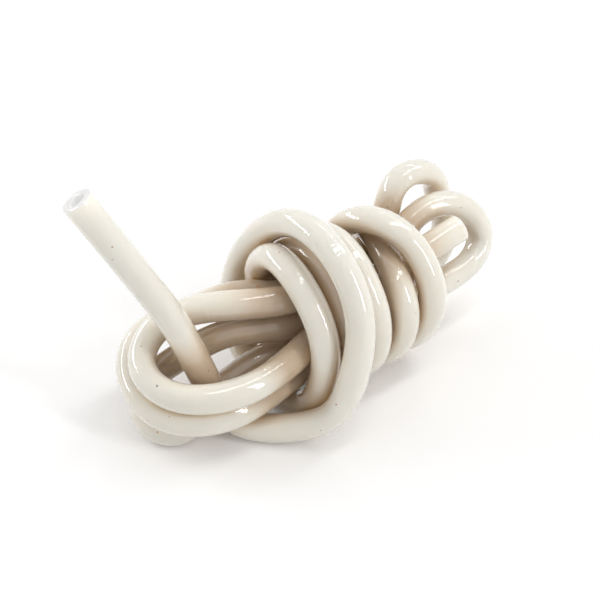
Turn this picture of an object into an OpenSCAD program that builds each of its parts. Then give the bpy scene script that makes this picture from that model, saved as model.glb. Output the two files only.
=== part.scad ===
// Hank of silicone tubing: one length of soft tube, doubled back on itself
// three times and wrapped around its own middle, with one end standing free.
// X runs along the hank, Z is up, and the hank lies on the plane Z = 0.

/* [Tube] */
// Outer diameter of the tube
tube_od = 9; // [6:0.5:16]
// Thickness of the tube's wall
wall = 2; // [0.8:0.1:2.6]

/* [Lay] */
// Spacing of turns that lie side by side, centre to centre, in tube diameters
lay_spacing = 1.02; // [1.02:0.005:1.3]
// Straight length at the end that stands free
free_len = 19; // [4:1:60]
// Straight length at the end inside the loop
inner_len = 9; // [4:1:12]

/* [Smoothness] */
// Sides of the swept tube's section
tube_sides = 12; // [10:2:12]
// Most that a straight step between two rings cuts inside the curve, in turn spacings
ring_sag = 0.038; // [0.034:0.002:0.038]

/* [Hidden] */
$fn = 64;

bore_d = tube_od - 2 * wall;
pitch = lay_spacing * tube_od;
// The swept wall's corners stay this far inside the round ends' skin, and the
// round ends start this far before its last ring, so that no faces coincide
corner_inset = tube_od / 90;
end_lap = 0.8;

// Route of the tube's centre line, in pitches, from the end inside the loop
// to the end that stands free. The passes run along X and the wraps around them.
pass_1 = [
    [5.9, -0.8, 4.0], [5.0, -0.75, 3.75], [4.2, -0.85, 3.25], [3.1, -0.9, 2.9], [1.9, -0.8, 2.9],
    [0.6, -0.8, 2.9], [-1.3, -1.1, 2.7], [-3.3, -1.0, 2.6]
];
left_bend_1 = [[-4.8, 0.2, 2.6], [-4.8, 1.8, 3.0], [-3.4, 2.2, 3.7]];
pass_2 = [
    [-1.8, 1.1, 4.1], [-0.2, 0.1, 4.1], [1.2, 0.2, 3.9], [2.3, 0.3, 3.8], [3.3, 0.5, 3.6],
    [4.3, 1.1, 3.4], [5.2, 1.4, 3.5]
];
upright_loop = [
    [5.7, 1.45, 4.4], [5.9, 1.45, 5.0], [6.4, 1.4, 5.4], [7.1, 1.3, 5.35], [7.7, 1.2, 4.9],
    [8.1, 1.2, 3.9], [8.4, 1.1, 2.9], [8.1, 0.9, 2.05]
];
pass_3 = [
    [7.0, 0.65, 1.7], [4.3, 0.35, 1.65], [2.4, 0.4, 1.65], [0.7, 0.4, 1.65], [-0.7, 0.6, 1.7],
    [-1.9, 0.9, 1.2], [-3.0, 1.0, 0.7]
];
left_bend_2 = [
    [-4.0, 0.6, 0.6], [-4.7, 0.9, 0.6], [-4.9, 1.6, 0.6], [-4.6, 2.3, 1.0], [-3.9, 2.5, 1.5],
    [-2.9, 2.0, 2.2]
];
pass_4 = [
    [-1.6, 1.2, 2.85], [-0.2, 0.3, 2.9], [1.2, 0.3, 2.7], [2.5, 0.2, 2.7], [3.6, 0.1, 2.65],
    [4.7, 0.2, 3.2], [5.8, 0.45, 4.2]
];
right_loop = [[7.1, 0.2, 4.55], [8.1, -0.3, 4.0], [8.3, -0.7, 3.0], [7.4, -0.9, 2.3]];
pass_5 = [
    [5.6, -0.8, 2.1], [3.5, -0.7, 1.9], [1.7, -0.6, 1.9], [0.0, -0.6, 1.7], [-1.9, -0.8, 1.6],
    [-3.6, -0.7, 1.6]
];
left_bend_3 = [[-4.9, 0.4, 1.6], [-5.0, 2.0, 1.9], [-4.2, 3.1, 2.5], [-2.8, 3.1, 2.9]];
pass_6 = [[-1.6, 2.2, 3.5], [-0.7, 1.6, 3.75], [0.15, 1.0, 3.65], [1.5, 1.3, 3.6], [2.7, 1.4, 3.6]];
wrap_1 = [
    [3.3, 1.5, 4.3], [3.5, 0.9, 5.1], [3.8, -0.2, 5.4], [4.2, -1.3, 4.8], [4.3, -2.1, 3.5],
    [4.3, -1.9, 1.9], [4.3, -0.8, 0.7], [4.3, 0.7, 0.6], [4.7, 2.1, 1.3], [4.9, 2.7, 2.5],
    [4.7, 2.5, 3.6]
];
wrap_2 = [
    [4.4, 1.3, 4.4], [3.9, -0.2, 4.2], [3.3, -1.5, 3.8], [3.2, -2.0, 2.6], [3.1, -1.4, 1.1],
    [3.0, 0.0, 0.6], [3.0, 1.5, 0.9], [2.8, 2.6, 2.0], [2.5, 2.7, 3.5]
];
wrap_3 = [
    [2.3, 1.6, 4.7], [2.2, 0.1, 5.1], [2.0, -1.3, 4.3], [2.0, -1.9, 2.9], [2.0, -1.5, 1.3],
    [1.9, -0.1, 0.6], [1.9, 1.5, 0.9], [1.8, 2.5, 2.1], [1.5, 2.5, 3.5]
];
wrap_4 = [
    [1.2, 1.4, 4.8], [1.0, -0.2, 5.1], [0.8, -1.6, 4.0], [0.8, -2.0, 2.5], [0.8, -1.3, 1.0],
    [0.8, 0.2, 0.6], [0.9, 1.6, 1.1], [0.7, 2.2, 2.5]
];
wrap_5 = [
    [0.25, 2.0, 4.05], [0.0, 0.85, 5.25], [-0.2, -0.8, 4.85], [-0.3, -1.8, 3.6], [-0.4, -1.9, 2.1],
    [-0.55, -1.25, 0.8], [-0.8, 0.0, 0.56], [-0.5, 1.6, 0.85], [-0.3, 2.8, 1.9]
];
wide_wrap = [
    [0.3, 3.2, 3.2], [0.6, 2.8, 4.5], [0.7, 1.4, 6.0], [0.6, -0.5, 6.5], [0.5, -2.1, 5.6],
    [0.3, -2.8, 4.1], [-0.2, -3.0, 2.6], [-0.8, -2.6, 1.2], [-1.8, -1.5, 0.6]
];
free_end = [
    [-2.6, -0.5, 0.6], [-3.0, 0.1, 1.2], [-3.4, 0.4, 2.4], [-3.9, 0.8, 4.2], [-4.5, 1.3, 5.8],
    [-5.2, 1.9, 7.4]
];
route = concat(
    pass_1, left_bend_1, pass_2, upright_loop, pass_3, left_bend_2, pass_4, right_loop,
    pass_5, left_bend_3, pass_6, wrap_1, wrap_2, wrap_3, wrap_4, wrap_5, wide_wrap, free_end
);

function unit(v) = v / norm(v);

// A cubic B-spline through the route's points: its poles are the points,
// moved again and again by how far the curve still misses them.
function before(q) = 2 * q[0] - q[1];
function after(q) = 2 * q[len(q) - 1] - q[len(q) - 2];
function pole_at(q, i) = i < 0 ? before(q) : i < len(q) ? q[i] : after(q);
function nearer(p, q) = [
    for (i = [0 : len(p) - 1])
        q[i] + p[i] - (pole_at(q, i - 1) + 4 * q[i] + pole_at(q, i + 1)) / 6
];
function poles(p, q, rounds) = rounds == 0 ? q : poles(p, nearer(p, q), rounds - 1);
function spline_weights(t) = [
    pow(1 - t, 3), 3 * pow(t, 3) - 6 * t * t + 4, -3 * pow(t, 3) + 3 * t * t + 3 * t + 1, pow(t, 3)
] / 6;
function slope_weights(t) = [
    -(1 - t) * (1 - t), 3 * t * t - 4 * t, -3 * t * t + 2 * t + 1, t * t
] / 2;
function span(q, i) = [for (k = [-1 : 2]) pole_at(q, i + k)];
function point_at(q, i, t) = spline_weights(t) * span(q, i);
function heading_at(q, i, t) = unit(slope_weights(t) * span(q, i));
function angle(a, b) = acos(max(-1, min(1, a * b)));

route_poles = poles(route, route, 14);
// Steps that span i is cut into, so that none cuts further inside than ring_sag.
// A chord over an arc of length l that turns by the angle t cuts in by l * t / 8.
function turning(i) =
    angle(heading_at(route_poles, i, 0), heading_at(route_poles, i, 0.5))
    + angle(heading_at(route_poles, i, 0.5), heading_at(route_poles, i, 1));
function span_sag(i) =
    norm(route[i + 1] - route[i]) * turning(i) * PI / 180 / 8;
function steps(i) = max(1, ceil(sqrt(span_sag(i) / ring_sag)));
last_span = len(route) - 2;
stations = [
    for (i = [0 : last_span]) let (n = steps(i)) for (k = [0 : n - 1]) [i, k / n],
    [last_span, 1]
];
centres = [for (s = stations) pitch * point_at(route_poles, s[0], s[1])];
headings = [for (s = stations) heading_at(route_poles, s[0], s[1])];
last_ring = len(stations) - 1;

// Each ring's first side follows the one before it, so the tube isn't twisted
function flattened(v, heading) = unit(v - (v * heading) * heading);
ring_sides = [
    for (i = 0, side = flattened([0, 0, 1], headings[0]);
         i <= last_ring;
         i = i + 1, side = i <= last_ring ? flattened(side, headings[i]) : side)
        side
];
function ring(i, d) = let (u = ring_sides[i], v = cross(headings[i], u)) [
    for (k = [0 : tube_sides - 1])
        let (a = 360 * k / tube_sides) centres[i] + d / 2 * (cos(a) * u + sin(a) * v)
];
outline = [for (i = [0 : last_ring]) each ring(i, tube_od - 2 * corner_inset)];
bore = [for (i = [0 : last_ring]) each ring(i, bore_d - 2 * corner_inset)];

// The middle of the cut face at each end, and how far its rim reaches to each side
inner_tip = centres[0] - inner_len * headings[0];
free_tip = centres[last_ring] + free_len * headings[last_ring];
function rim_reach(heading) = [for (h = heading) tube_od / 2 * sqrt(1 - h * h)];
extremes = concat(
    outline,
    [inner_tip - rim_reach(headings[0]), inner_tip + rim_reach(headings[0])],
    [free_tip - rim_reach(headings[last_ring]), free_tip + rim_reach(headings[last_ring])]
);
function lowest(axis) = min([for (p = extremes) p[axis]]);
function highest(axis) = max([for (p = extremes) p[axis]]);
// The point under the middle of the hank, on the surface that it lies on
origin = [(lowest(0) + highest(0)) / 2, (lowest(1) + highest(1)) / 2, lowest(2)];

// Faces between one ring of points and the next, all round and all along,
// outwards for the outline and inwards for the bore
function skin(first, outwards) = [
    for (i = [0 : last_ring - 1], k = [0 : tube_sides - 1])
        let (a = first + i * tube_sides + k, b = first + i * tube_sides + (k + 1) % tube_sides)
            each outwards
                ? [[a, a + tube_sides, b], [b, a + tube_sides, b + tube_sides]]
                : [[a, b, a + tube_sides], [b, b + tube_sides, a + tube_sides]]
];
// The flat ring between outline and bore at one end of the swept wall
function end_face(outer, inner, is_first) = [
    for (k = [0 : tube_sides - 1])
        let (next = (k + 1) % tube_sides,
             near = [outer + k, outer + next, inner + next],
             far = [outer + k, inner + next, inner + k])
            each is_first ? [near, far] : [[near[2], near[1], near[0]], [far[2], far[1], far[0]]]
];

module swept_wall() {
    bore_first = len(outline);
    last_first = last_ring * tube_sides;
    polyhedron(
        points = concat(outline, bore),
        faces = concat(
            skin(0, true),
            skin(bore_first, false),
            end_face(0, bore_first, true),
            end_face(last_first, bore_first + last_first, false)
        )
    );
}

// A straight stretch of tube that runs on from ring i, towards heading, turned
// a third of a side so that its seam meets none of the ring's corners
module straight_wall(i, heading, length) {
    translate(centres[i] - end_lap * heading)
        rotate([0, acos(heading[2]), atan2(heading[1], heading[0])])
        rotate(360 / tube_sides / 3)
        difference() {
            cylinder(d = tube_od, h = end_lap + length);
            translate([0, 0, -1]) cylinder(d = bore_d, h = end_lap + length + 2);
        }
}

module tube() {
    color("ivory") translate(-origin) {
        swept_wall();
        straight_wall(0, -headings[0], inner_len);
        straight_wall(last_ring, headings[last_ring], free_len);
    }
}

tube();
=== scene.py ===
import math

import bmesh
import bpy
import numpy as np
from mathutils import Matrix, Vector


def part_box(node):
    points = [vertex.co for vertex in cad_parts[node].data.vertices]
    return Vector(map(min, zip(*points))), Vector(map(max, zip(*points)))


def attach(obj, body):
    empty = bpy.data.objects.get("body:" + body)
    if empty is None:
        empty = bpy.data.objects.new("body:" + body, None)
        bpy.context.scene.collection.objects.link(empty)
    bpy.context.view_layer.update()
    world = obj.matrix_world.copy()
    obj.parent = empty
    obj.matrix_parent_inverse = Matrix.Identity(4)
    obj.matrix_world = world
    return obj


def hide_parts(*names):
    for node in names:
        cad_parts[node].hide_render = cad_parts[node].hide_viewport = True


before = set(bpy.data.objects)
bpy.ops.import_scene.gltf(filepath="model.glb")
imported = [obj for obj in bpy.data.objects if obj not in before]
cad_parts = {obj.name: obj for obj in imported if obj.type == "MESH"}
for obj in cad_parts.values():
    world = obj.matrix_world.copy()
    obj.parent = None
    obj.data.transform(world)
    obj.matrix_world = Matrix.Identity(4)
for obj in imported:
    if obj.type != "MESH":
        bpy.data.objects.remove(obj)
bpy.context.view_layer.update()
scene = bpy.context.scene
scene.view_settings.view_transform = "Standard"
print("frame loaded")


# the camera looks down along the hank from the folded end
cameraSetup = {
    "position": (-0.21968, -0.23579, 0.27313),  # m
    "heading": 42,          # degrees, turned from +Y towards +X
    "downwards": 37,        # degrees below the horizon
    "lens": 79.8,           # mm on a 36 mm sensor
}


def makeCamera(setup):
    turn, tilt = math.radians(setup["heading"]), math.radians(setup["downwards"])
    right = Vector((math.cos(turn), -math.sin(turn), 0))
    forward = Vector((math.sin(turn) * math.cos(tilt), math.cos(turn) * math.cos(tilt), -math.sin(tilt)))
    up = right.cross(forward)
    pose = Matrix((right, up, -forward)).transposed().to_4x4()
    pose.translation = Vector(setup["position"])
    data = bpy.data.cameras.new("camera")
    data.lens = setup["lens"]
    data.sensor_width = 36
    data.clip_start = 0.01
    camera = bpy.data.objects.new("camera", data)
    camera.matrix_world = pose
    scene.collection.objects.link(camera)
    scene.camera = camera


makeCamera(cameraSetup)
print("camera set")


tubeSizes = {
    "outerDiameter": 0.009,   # m
    "wall": 0.002,            # m
    "laySpacing": 1.02,       # turn spacing in tube diameters
    "innerLength": 0.009,     # m, straight end inside the loop
    "freeLength": 0.019,      # m, straight end that stands free
    "ringStep": 0.0019,       # m between two rings
    "sides": 36,
    "flatten": 0.26,          # how much a bend presses the section flat in its plane
    "widen": 0.10,            # and how much it spreads to both sides
    "rimRound": 0.00013,      # m, softened edge of the cut ends
    "sinkIn": 0.00015,        # m that its weight presses the lowest turns flat
    "sharpFrom": 50,          # degrees between faces that meet in an edge
}

# the tube's route, in turn spacings, from the end inside the loop to the free end
firstRuns = [
    (5.9, -0.8, 4.0), (5.0, -0.75, 3.75), (4.2, -0.85, 3.25), (3.1, -0.9, 2.9), (1.9, -0.8, 2.9),
    (0.6, -0.8, 2.9), (-1.3, -1.1, 2.7), (-3.3, -1.0, 2.6),
    (-4.8, 0.2, 2.6), (-4.8, 1.8, 3.0), (-3.4, 2.2, 3.7),
    (-1.8, 1.1, 4.1), (-0.2, 0.1, 4.1), (1.2, 0.2, 3.9), (2.3, 0.3, 3.8), (3.3, 0.5, 3.6),
    (4.3, 1.1, 3.4), (5.2, 1.4, 3.5),
]
uprightLoop = [
    (5.7, 1.45, 4.4), (5.9, 1.45, 5.0), (6.4, 1.4, 5.4), (7.1, 1.3, 5.35), (7.7, 1.2, 4.9),
    (8.1, 1.2, 3.9), (8.4, 1.1, 2.9), (8.1, 0.9, 2.05),
]
lowRuns = [
    (7.0, 0.65, 1.7), (4.3, 0.35, 1.65), (2.4, 0.4, 1.65), (0.7, 0.4, 1.65), (-0.7, 0.6, 1.7),
    (-1.9, 0.9, 1.2), (-3.0, 1.0, 0.7),
    (-4.0, 0.6, 0.6), (-4.7, 0.9, 0.6), (-4.9, 1.6, 0.6), (-4.6, 2.3, 1.0), (-3.9, 2.5, 1.5),
    (-2.9, 2.0, 2.2),
    (-1.6, 1.2, 2.85), (-0.2, 0.3, 2.9), (1.2, 0.3, 2.7), (2.5, 0.2, 2.7), (3.6, 0.1, 2.65),
    (4.7, 0.2, 3.2), (5.8, 0.45, 4.2),
]
rightLoop = [(7.1, 0.2, 4.55), (8.1, -0.3, 4.0), (8.3, -0.7, 3.0), (7.4, -0.9, 2.3)]
lastRuns = [
    (5.6, -0.8, 2.1), (3.5, -0.7, 1.9), (1.7, -0.6, 1.9), (0.0, -0.6, 1.7), (-1.9, -0.8, 1.6),
    (-3.6, -0.7, 1.6),
    (-4.9, 0.4, 1.6), (-5.0, 2.0, 1.9), (-4.2, 3.1, 2.5), (-2.8, 3.1, 2.9),
    (-1.6, 2.2, 3.5), (-0.7, 1.6, 3.75), (0.15, 1.0, 3.65), (1.5, 1.3, 3.6), (2.7, 1.4, 3.6),
]
wraps = [
    (3.3, 1.5, 4.3), (3.5, 0.9, 5.1), (3.8, -0.2, 5.4), (4.2, -1.3, 4.8), (4.3, -2.1, 3.5),
    (4.3, -1.9, 1.9), (4.3, -0.8, 0.7), (4.3, 0.7, 0.6), (4.7, 2.1, 1.3), (4.9, 2.7, 2.5),
    (4.7, 2.5, 3.6),
    (4.4, 1.3, 4.4), (3.9, -0.2, 4.2), (3.3, -1.5, 3.8), (3.2, -2.0, 2.6), (3.1, -1.4, 1.1),
    (3.0, 0.0, 0.6), (3.0, 1.5, 0.9), (2.8, 2.6, 2.0), (2.5, 2.7, 3.5),
    (2.3, 1.6, 4.7), (2.2, 0.1, 5.1), (2.0, -1.3, 4.3), (2.0, -1.9, 2.9), (2.0, -1.5, 1.3),
    (1.9, -0.1, 0.6), (1.9, 1.5, 0.9), (1.8, 2.5, 2.1), (1.5, 2.5, 3.5),
    (1.2, 1.4, 4.8), (1.0, -0.2, 5.1), (0.8, -1.6, 4.0), (0.8, -2.0, 2.5), (0.8, -1.3, 1.0),
    (0.8, 0.2, 0.6), (0.9, 1.6, 1.1), (0.7, 2.2, 2.5),
    (0.25, 2.0, 4.05), (0.0, 0.85, 5.25), (-0.2, -0.8, 4.85), (-0.3, -1.8, 3.6), (-0.4, -1.9, 2.1),
    (-0.55, -1.25, 0.8), (-0.8, 0.0, 0.56), (-0.5, 1.6, 0.85), (-0.3, 2.8, 1.9),
]
wideWrap = [
    (0.3, 3.2, 3.2), (0.6, 2.8, 4.5), (0.7, 1.4, 6.0), (0.6, -0.5, 6.5), (0.5, -2.1, 5.6),
    (0.3, -2.8, 4.1), (-0.2, -3.0, 2.6), (-0.8, -2.6, 1.2), (-1.8, -1.5, 0.6),
]
freeEnd = [
    (-2.6, -0.5, 0.6), (-3.0, 0.1, 1.2), (-3.4, 0.4, 2.4), (-3.9, 0.8, 4.2), (-4.5, 1.3, 5.8),
    (-5.2, 1.9, 7.4),
]
route = firstRuns + uprightLoop + lowRuns + rightLoop + lastRuns + wraps + wideWrap + freeEnd


def withOuterPoles(poles):
    return np.vstack([2 * poles[0] - poles[1], poles, 2 * poles[-1] - poles[-2]])


def splinePoles(points, rounds=14):
    # moved a little each round, until the spline goes through the points
    poles = points.copy()
    for _ in range(rounds):
        row = withOuterPoles(poles)
        poles = poles + points - (row[:-2] + 4 * row[1:-1] + row[2:]) / 6
    return withOuterPoles(poles)


def smoothLine(points, perSpan=60):
    poles = splinePoles(points)
    t = np.linspace(0, 1, perSpan, endpoint=False)[:, None]
    weights = [(1 - t) ** 3, 3 * t ** 3 - 6 * t ** 2 + 4, -3 * t ** 3 + 3 * t ** 2 + 3 * t + 1, t ** 3]
    spans = [sum(w * poles[i + k] for k, w in enumerate(weights)) / 6 for i in range(len(points) - 1)]
    return np.vstack(spans + [points[-1:]])


def runningLength(line):
    return np.concatenate([[0], np.cumsum(np.linalg.norm(np.diff(line, axis=0), axis=1))])


def evenlySpaced(line, step):
    along = runningLength(line)
    count = round(along[-1] / step)
    stops = np.linspace(0, along[-1], count + 1)
    return np.stack([np.interp(stops, along, line[:, axis]) for axis in range(3)], axis=1)


def headingsOf(line):
    headings = np.gradient(line, axis=0)
    return headings / np.linalg.norm(headings, axis=1)[:, None]


def tubeLine(sizes):
    spacing = sizes["laySpacing"] * sizes["outerDiameter"]
    line = smoothLine(np.array(route, float) * spacing)
    for end, inner, length in ((0, 1, sizes["innerLength"]), (-1, -2, sizes["freeLength"])):
        outwards = line[end] - line[inner]
        tip = line[end] + outwards / np.linalg.norm(outwards) * length
        line = np.vstack([tip, line]) if end == 0 else np.vstack([line, tip])
    return evenlySpaced(line, sizes["ringStep"])


def laidOnFloor(line, sizes):
    # the wall's own box goes where the CAD node's box is
    reach = sizes["outerDiameter"] / 2 * np.sqrt(np.clip(1 - headingsOf(line) ** 2, 0, 1))
    low, high = (line - reach).min(axis=0), (line + reach).max(axis=0)
    cadLow, cadHigh = (np.array(corner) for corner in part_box("tube"))
    shift = (cadLow + cadHigh - low - high) / 2
    shift[2] = cadLow[2] - low[2] - sizes["sinkIn"]
    return line + shift


line = laidOnFloor(tubeLine(tubeSizes), tubeSizes)


def bendAt(line, step, radius):
    # points to the inside of each bend; its length is the tube's radius over the bend's
    bend = np.gradient(headingsOf(line), axis=0) / step * radius
    for _ in range(3):
        bend[1:-1] = (bend[:-2] + 2 * bend[1:-1] + bend[2:]) / 4
    return bend


def lineObject(line, sizes):
    data = bpy.data.meshes.new("tubeLine")
    data.from_pydata([tuple(p) for p in line], [(i, i + 1) for i in range(len(line) - 1)], [])
    bend = data.attributes.new("bend", "FLOAT_VECTOR", "POINT")
    bend.data.foreach_set("vector", bendAt(line, sizes["ringStep"], sizes["outerDiameter"] / 2).ravel())
    tube = bpy.data.objects.new("tubeWall", data)
    scene.collection.objects.link(tube)
    return tube


def nodeMaker(tree):
    def make(kind, inputs=(), **settings):
        node = tree.nodes.new(kind)
        for name, value in settings.items():
            setattr(node, name, value)
        for socket, value in dict(inputs).items():
            if isinstance(value, bpy.types.NodeSocket):
                tree.links.new(value, node.inputs[socket])
            else:
                node.inputs[socket].default_value = value
        return node
    return make


def sweptWallTree():
    # sweeps the outside and the bore along the line
    tree = bpy.data.node_groups.new("sweptWall", "GeometryNodeTree")
    tree.interface.new_socket("Geometry", in_out="INPUT", socket_type="NodeSocketGeometry")
    for name, kind in (("Outer Diameter", "Float"), ("Bore Diameter", "Float"), ("Sides", "Int"),
                       ("Flatten", "Float"), ("Widen", "Float"), ("Material", "Material")):
        tree.interface.new_socket(name, in_out="INPUT", socket_type="NodeSocket" + kind)
    tree.interface.new_socket("Geometry", in_out="OUTPUT", socket_type="NodeSocketGeometry")
    make = nodeMaker(tree)
    given = make("NodeGroupInput").outputs

    rail = make("GeometryNodeMeshToCurve", {"Mesh": given["Geometry"]}).outputs[0]
    held = make("GeometryNodeCaptureAttribute", {"Geometry": rail})
    for kind, name, source in (
        ("VECTOR", "Centre", make("GeometryNodeInputPosition").outputs[0]),
        ("FLOAT", "Along", make("GeometryNodeSplineParameter").outputs["Length"]),
        ("VECTOR", "Bend", make("GeometryNodeInputNamedAttribute", {"Name": "bend"},
                                data_type="FLOAT_VECTOR").outputs["Attribute"]),
    ):
        held.capture_items.new(kind, name)
        tree.links.new(source, held.inputs[name])

    def calc(operation, *values):
        return make("ShaderNodeMath", dict(enumerate(values)), operation=operation).outputs[0]

    def vec(operation, *values, out=0):
        inputs = {("Scale" if operation == "SCALE" and i == 1 else i): v for i, v in enumerate(values)}
        return make("ShaderNodeVectorMath", inputs, operation=operation).outputs[out]

    walls = []
    for diameter, inside in ((given["Outer Diameter"], False), (given["Bore Diameter"], True)):
        radius = calc("DIVIDE", diameter, 2.0)
        circle = make("GeometryNodeCurvePrimitiveCircle", {"Resolution": given["Sides"], "Radius": radius})
        ring = make("GeometryNodeCaptureAttribute", {"Geometry": circle.outputs[0]})
        ring.capture_items.new("FLOAT", "Around")
        tree.links.new(make("GeometryNodeSplineParameter").outputs["Factor"], ring.inputs["Around"])
        swept = make("GeometryNodeCurveToMesh", {"Curve": held.outputs["Geometry"],
                                                 "Profile Curve": ring.outputs["Geometry"]}).outputs[0]

        # pressed flat in the plane of each bend, spread a little across it
        bend = held.outputs["Bend"]
        tightness = vec("LENGTH", bend, out=1)
        inwards = vec("NORMALIZE", bend)
        offset = vec("SUBTRACT", make("GeometryNodeInputPosition").outputs[0], held.outputs["Centre"])
        inPlane = vec("SCALE", inwards, vec("DOT_PRODUCT", offset, inwards, out=1))
        across = vec("SUBTRACT", offset, inPlane)
        squeeze = calc("MULTIPLY", tightness, calc("MULTIPLY", given["Flatten"], -1.0))
        pressed = vec("SCALE", inPlane, squeeze)
        spread = vec("SCALE", across, calc("MULTIPLY", tightness, given["Widen"]))
        shaped = make("GeometryNodeSetPosition",
                      {"Geometry": swept, "Offset": vec("ADD", pressed, spread)})

        # where a point is on the straightened tube, for patterns that run along it
        angle = calc("MULTIPLY", ring.outputs["Around"], 2 * math.pi)
        unrolled = make("ShaderNodeCombineXYZ", {0: calc("MULTIPLY", calc("COSINE", angle), radius),
                                                 1: calc("MULTIPLY", calc("SINE", angle), radius),
                                                 2: held.outputs["Along"]}).outputs[0]
        noted = make("GeometryNodeStoreNamedAttribute",
                     {"Geometry": shaped.outputs[0], "Name": "alongTube", "Value": unrolled},
                     data_type="FLOAT_VECTOR").outputs[0]
        walls.append(make("GeometryNodeFlipFaces", {"Mesh": noted}).outputs[0] if inside else noted)

    joined = make("GeometryNodeJoinGeometry")
    for wall in walls:
        tree.links.new(wall, joined.inputs[0])
    # a soft tube rests on a narrow flat, not on a line
    place = make("ShaderNodeSeparateXYZ", {0: make("GeometryNodeInputPosition").outputs[0]}).outputs
    onFloor = make("ShaderNodeCombineXYZ", {0: place[0], 1: place[1], 2: calc("MAXIMUM", place[2], 0.0)})
    rested = make("GeometryNodeSetPosition",
                  {"Geometry": joined.outputs[0], "Position": onFloor.outputs[0]})
    realized = make("GeometryNodeRealizeInstances", {"Geometry": rested.outputs[0]})
    dressed = make("GeometryNodeSetMaterial",
                   {"Geometry": realized.outputs[0], "Material": given["Material"]})
    tree.links.new(dressed.outputs[0], make("NodeGroupOutput").inputs[0])
    return tree


def applyTree(thing, tree, values):
    modifier = thing.modifiers.new(tree.name, "NODES")
    modifier.node_group = tree
    sockets = {item.name: item.identifier for item in tree.interface.items_tree
               if item.in_out == "INPUT" and item.socket_type != "NodeSocketGeometry"}
    for name, value in values.items():
        modifier[sockets[name]] = value
    depsgraph = bpy.context.evaluated_depsgraph_get()
    made = bpy.data.meshes.new_from_object(thing.evaluated_get(depsgraph), preserve_all_data_layers=True,
                                           depsgraph=depsgraph)
    thing.modifiers.clear()
    thing.data = made


def closeEnds(mesh, line, sizes, cutSlot):
    # a square knife cut at each end, its rims a little softened
    bm = bmesh.new()
    bm.from_mesh(mesh)
    rims = [edge for edge in bm.edges if edge.is_boundary]
    for tip in (Vector(line[0]), Vector(line[-1])):
        near = [edge for edge in rims if (edge.verts[0].co - tip).length < sizes["outerDiameter"]]
        for face in bmesh.ops.bridge_loops(bm, edges=near)["faces"]:
            face.material_index = cutSlot
    bmesh.ops.bevel(bm, geom=rims, offset=sizes["rimRound"], segments=2, profile=0.5,
                    affect="EDGES", material=cutSlot)
    for face in bm.faces:
        face.smooth = True
    bmesh.ops.recalc_face_normals(bm, faces=bm.faces)
    bm.to_mesh(mesh)
    bm.free()


siliconeLook = {
    "paintedLitFree": (0.93, 0.865, 0.755, 1),     # painted light: paler where the tube stands free of the others, as no turns shade it
    "pale": (0.89, 0.802, 0.68, 1),       # most of the tube
    "warm": (0.88, 0.77, 0.635, 1),       # stretches that are a little yellower
    "stretches": 22.0,                    # per m, of pale and warm
    "shade": (0.57, 0.45, 0.33, 1),       # painted shade under other turns, where light has come through them
    "shadeFrom": 0.30,                    # cover at which the shade starts
    "shadeFull": 0.65,                    # and at which it is full
    "shadeSpread": 0.008,                 # m that the shade spreads along the tube
    "coverAllRound": 2.1,                 # weight of turns on all sides
    "coverHere": 0.4,                     # weight of turns that a point faces
    "creviceShade": (0.76, 0.57, 0.36, 1),     # painted shade against the next turn
    "creviceReach": 0.0022,               # m from the next turn
    "creviceCurve": 1.5,
    # painted light: the bore is paler, for light that comes through the wall
    "bore": (0.99, 0.985, 0.975, 1),
    "cut": (0.66, 0.645, 0.645, 1),
    "cutRoughness": 0.45,
    "refraction": 1.43,
    "depth": 0.005,                       # m that light wanders inside
    "depthTint": (1.0, 0.97, 0.92),
    "shine": 0.06,                        # roughness of the smooth skin
    "ripples": 0.00010,                   # m, fine ripples that cross the tube
    "rippleStrength": 0.55,
    "ripplesPerMetre": 1100.0,
    "rippleTwist": 0.12,                  # how much a ripple changes on its way round
    "grainPerMetre": 700.0,
    "grainShare": 0.15,
    "greySpecks": (0.30, 0.27, 0.24, 1),
    "rustSpecks": (0.60, 0.30, 0.08, 1),
    "speckCells": 260.0,                  # per m
    "bareCells": 0.70,                    # share of cells without a speck
    "speckRadii": (0.05, 0.12),           # in cells
    "speckStrength": 0.85,
}


def coverAndGap(mesh, line, radius):
    # for each point of the wall: how much of its view the other turns fill, and how close they come
    count = len(mesh.vertices)
    spots, normals, unrolled = (np.empty(count * 3) for _ in range(3))
    mesh.vertices.foreach_get("co", spots)
    mesh.vertex_normals.foreach_get("vector", normals)
    mesh.attributes["alongTube"].data.foreach_get("vector", unrolled)
    spots, normals, along = spots.reshape(-1, 3), normals.reshape(-1, 3), unrolled[2::3]
    lineAlong = runningLength(line)
    step, ownStretch, farAway, batch = lineAlong[1], 4 * radius, 1, 3000
    gap, cover = np.empty(count), np.empty(count)
    for start in range(0, count, batch):
        part = slice(start, start + batch)
        towards = line[None] - spots[part, None]
        away = np.linalg.norm(towards, axis=2)
        away[np.abs(along[part, None] - lineAlong[None]) < ownStretch] = farAway
        facing = np.clip((towards * normals[part, None]).sum(axis=2) / away, 0, 1)
        gap[part] = away.min(axis=1) - radius
        cover[part] = (facing * 2 * radius * step / (math.pi * away ** 2)).sum(axis=1)
    return cover, gap, np.rint(along / step).astype(int), step


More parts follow.
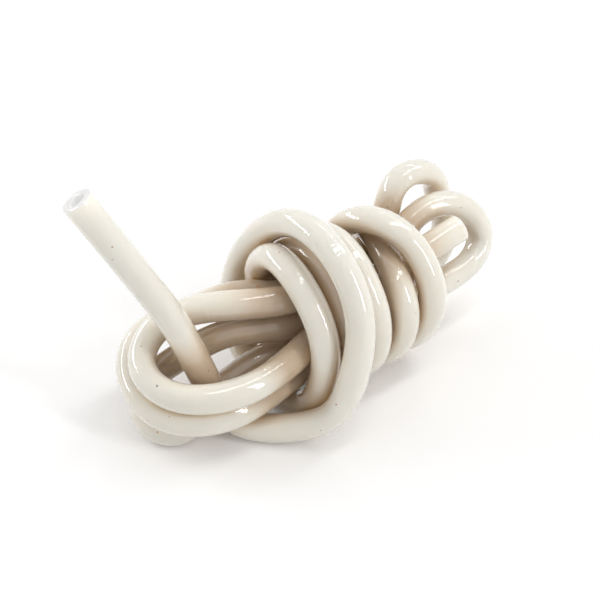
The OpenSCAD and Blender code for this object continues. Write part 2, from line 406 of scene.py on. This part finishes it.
def noteNeighbours(mesh, line, look):
    # the painted shade: the least covered side of each ring says whether turns lie all round it; that is
    # spread along the tube, as light spreads inside the wall
    radius = tubeSizes["outerDiameter"] / 2
    cover, gap, ring, step = coverAndGap(mesh, line, radius)
    allRound = np.full(ring.max() + 1, cover.max())
    np.minimum.at(allRound, ring, cover)
    reach = int(3 * look["shadeSpread"] / step)
    weights = np.exp(-0.5 * (np.arange(-reach, reach + 1) * step / look["shadeSpread"]) ** 2)
    allRound = np.convolve(np.pad(allRound, reach, mode="edge"), weights / weights.sum(), "valid")
    cover = look["coverAllRound"] * allRound[ring] + look["coverHere"] * cover
    for name, values in (
        # share of the painted shade in the crevice against the next turn
        ("creviceShadeShare", np.clip(1 - gap / look["creviceReach"], 0, 1)),
        # share of the painted light where the tube stands free
        ("paintedLitFreeShare", np.clip(gap / (6 * radius), 0, 1)),
        # share of the painted shade under other turns
        ("paintedShadeShare", 1 - np.exp(-cover)),
    ):
        mesh.attributes.new(name, "FLOAT", "POINT").data.foreach_set("value", values)


def emptyNodes(owner):
    owner.use_nodes = True
    owner.node_tree.nodes.clear()
    return owner.node_tree, nodeMaker(owner.node_tree)


def noise(make, vector, scale, detail=2.0):
    return make("ShaderNodeTexNoise", {"Vector": vector, "Scale": scale, "Detail": detail}).outputs["Fac"]


def ramp(make, value, low, high, first=0.0, last=1.0):
    return make("ShaderNodeMapRange", {"Value": value, "From Min": low, "From Max": high,
                                       "To Min": first, "To Max": last}).outputs[0]


def blend(make, share, first, second):
    return make("ShaderNodeMix", {0: share, 6: first, 7: second}, data_type="RGBA").outputs[2]


def readNote(make, name, kind="Fac"):
    return make("ShaderNodeAttribute", attribute_name=name).outputs[kind]


def skinColour(make, look):
    alongTube = readNote(make, "alongTube", "Vector")
    stretch = ramp(make, noise(make, alongTube, look["stretches"]), 0.35, 0.65)
    colour = blend(make, stretch, look["pale"], look["warm"])
    # painted light: paler where no other turns lie near enough to shade the tube
    colour = blend(make, readNote(make, "paintedLitFreeShare"), colour, look["paintedLitFree"])
    # painted shade where other turns cover the tube
    shaded = ramp(make, readNote(make, "paintedShadeShare"), look["shadeFrom"], look["shadeFull"])
    colour = blend(make, shaded, colour, look["shade"])
    # painted shade in the crevice where the tube meets the next turn
    near = make("ShaderNodeMath", {0: readNote(make, "creviceShadeShare"), 1: look["creviceCurve"]}, operation="POWER")
    colour = blend(make, near.outputs[0], colour, look["creviceShade"])

    # painted light: the bore's own side of the wall is the paler one, for light that comes through the wall
    flat = make("ShaderNodeVectorMath", {0: alongTube, 1: (1, 1, 0)}, operation="MULTIPLY").outputs[0]
    fromAxis = make("ShaderNodeVectorMath", {0: flat}, operation="LENGTH").outputs["Value"]
    radius = tubeSizes["outerDiameter"] / 2
    bore = radius - tubeSizes["wall"]
    colour = blend(make, ramp(make, fromAxis, bore, (radius + bore) / 2, 1.0, 0.0), colour, look["bore"])

    # a few dust specks, each cell of a cellular pattern with or without one
    place = make("ShaderNodeTexCoord").outputs["Object"]
    cells = make("ShaderNodeTexVoronoi", {"Vector": place, "Scale": look["speckCells"]})
    draw = make("ShaderNodeSeparateColor", {0: cells.outputs["Color"]}).outputs
    size = ramp(make, draw[1], 0.0, 1.0, *look["speckRadii"])
    dot = make("ShaderNodeMath", {0: cells.outputs["Distance"], 1: size}, operation="LESS_THAN").outputs[0]
    chosen = ramp(make, draw[0], look["bareCells"], look["bareCells"] + 0.02, 0.0, look["speckStrength"])
    speck = make("ShaderNodeMath", {0: dot, 1: chosen}, operation="MULTIPLY").outputs[0]
    kind = blend(make, ramp(make, draw[2], 0.5, 0.7), look["greySpecks"], look["rustSpecks"])
    return blend(make, speck, colour, kind)


def skinRelief(make, look):
    twist = look["rippleTwist"]
    crossing = make("ShaderNodeMapping", {"Vector": readNote(make, "alongTube", "Vector"),
                                          "Scale": (twist, twist, 1)}).outputs[0]
    place = make("ShaderNodeTexCoord").outputs["Object"]
    relief = make("ShaderNodeMath", {0: noise(make, place, look["grainPerMetre"]), 1: look["grainShare"],
                                     2: noise(make, crossing, look["ripplesPerMetre"], 1.0)},
                  operation="MULTIPLY_ADD").outputs[0]
    return make("ShaderNodeBump", {"Height": relief, "Strength": look["rippleStrength"],
                                   "Distance": look["ripples"]}).outputs[0]


def siliconeMaterial(name, look, isCut=False):
    material = bpy.data.materials.new(name)
    tree, make = emptyNodes(material)
    relief = skinRelief(make, look)
    shader = make("ShaderNodeBsdfPrincipled", {
        "Base Color": look["cut"] if isCut else skinColour(make, look),
        "Roughness": look["cutRoughness"] if isCut else look["shine"],
        "IOR": look["refraction"],
        "Subsurface Weight": 1.0,
        "Subsurface Scale": look["depth"],
        "Subsurface Radius": look["depthTint"],
        "Coat Weight": 1.0,
        "Coat Roughness": look["shine"],
        "Normal": relief,
        "Coat Normal": relief,
    })
    tree.links.new(shader.outputs[0], make("ShaderNodeOutputMaterial").inputs[0])
    return material


def makeTube(line, sizes, look):
    skin = siliconeMaterial("siliconeSkin", look)
    cut = siliconeMaterial("siliconeCut", look, isCut=True)
    tube = lineObject(line, sizes)
    applyTree(tube, sweptWallTree(), {
        "Outer Diameter": sizes["outerDiameter"],
        "Bore Diameter": sizes["outerDiameter"] - 2 * sizes["wall"],
        "Sides": sizes["sides"],
        "Flatten": sizes["flatten"],
        "Widen": sizes["widen"],
        "Material": skin,
    })
    tube.data.materials.clear()
    for material in (skin, cut):
        tube.data.materials.append(material)
    noteNeighbours(tube.data, line, look)
    closeEnds(tube.data, line, sizes, cutSlot=1)
    tube.data.set_sharp_from_angle(angle=math.radians(sizes["sharpFrom"]))
    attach(tube, "root")
    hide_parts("tube")
    return tube


tube = makeTube(line, tubeSizes, siliconeLook)
print("tube made,", len(tube.data.polygons), "faces")


surroundings = {
    "lit": 0.92,                # white of the floor that a shadow can take
    "glow": 0.07,               # and white that it can't
    "farGlow": 0.50,            # past the lamps' reach, where the floor would turn grey
    "glowGrows": (0.35, 1.3),   # m from the middle
    "unseenFloor": 0.8,         # what the floor throws back on the tube
    "skyLight": 0.58,
}
lamps = {
    "backLeftStrip": {"at": (-0.42, 0.72, 0.42), "aim": (0, 0, 0.03), "size": (0.80, 0.09), "watts": 2.8},
    "rightStrip": {"at": (0.20, -0.80, 0.50), "aim": (0, 0, 0.03), "size": (0.09, 0.60), "watts": 2.4},
    "lengthStrip": {"at": (0.36, -0.16, 0.80), "aim": (0.36, 0, 0.03), "size": (1.10, 0.10), "watts": 2.0},
    "overBack": {"at": (0.48, 0.10, 0.72), "aim": (0, 0, 0.03), "size": (0.70, 0.06), "watts": 0.7,
                 "colour": (1.0, 0.98, 0.94)},
}


def isSeen(make):
    # 1 for rays from the camera, straight, mirrored or through glass
    rays = make("ShaderNodeLightPath").outputs
    seen = rays["Is Camera Ray"]
    for kind in ("Is Glossy Ray", "Is Transmission Ray"):
        seen = make("ShaderNodeMath", {0: seen, 1: rays[kind]}, operation="MAXIMUM").outputs[0]
    return seen


def makeFloor(look):
    data = bpy.data.meshes.new("floor")
    data.from_pydata([(-3, -3, 0), (3, -3, 0), (3, 3, 0), (-3, 3, 0)], [], [(0, 1, 2, 3)])
    floor = bpy.data.objects.new("floor", data)
    scene.collection.objects.link(floor)
    material = bpy.data.materials.new("whiteFloor")
    tree, make = emptyNodes(material)
    paper, shaded = (make("ShaderNodeBsdfDiffuse", {"Color": (look[level],) * 3 + (1,)}).outputs[0]
                     for level in ("unseenFloor", "lit"))
    place = make("ShaderNodeTexCoord").outputs["Object"]
    away = make("ShaderNodeVectorMath", {0: place}, operation="LENGTH").outputs["Value"]
    level = ramp(make, away, *look["glowGrows"], look["glow"], look["farGlow"])
    glow = make("ShaderNodeEmission", {"Color": (1, 1, 1, 1), "Strength": level}).outputs[0]
    shown = make("ShaderNodeAddShader", {0: shaded, 1: glow}).outputs[0]
    mixed = make("ShaderNodeMixShader", {0: isSeen(make), 1: paper, 2: shown}).outputs[0]
    tree.links.new(mixed, make("ShaderNodeOutputMaterial").inputs[0])
    floor.data.materials.append(material)


def makeSky(strength):
    scene.world = bpy.data.worlds.new("studio")
    tree, make = emptyNodes(scene.world)
    level = ramp(make, isSeen(make), 0.0, 1.0, strength, 1.0)
    sky = make("ShaderNodeBackground", {"Color": (1, 1, 1, 1), "Strength": level}).outputs[0]
    tree.links.new(sky, make("ShaderNodeOutputWorld").inputs[0])


def softLamp(name, plan):
    data = bpy.data.lights.new(name, "AREA")
    data.shape = "RECTANGLE"
    data.size, data.size_y = plan["size"]
    data.energy = plan["watts"]
    data.color = plan.get("colour", (1, 1, 1))
    lamp = bpy.data.objects.new(name, data)
    lamp.location = plan["at"]
    lamp.rotation_euler = (Vector(plan["aim"]) - Vector(plan["at"])).to_track_quat("-Z", "Y").to_euler()
    scene.collection.objects.link(lamp)


makeFloor(surroundings)
makeSky(surroundings["skyLight"])
for name, plan in lamps.items():
    softLamp(name, plan)
print("floor and lamps set")
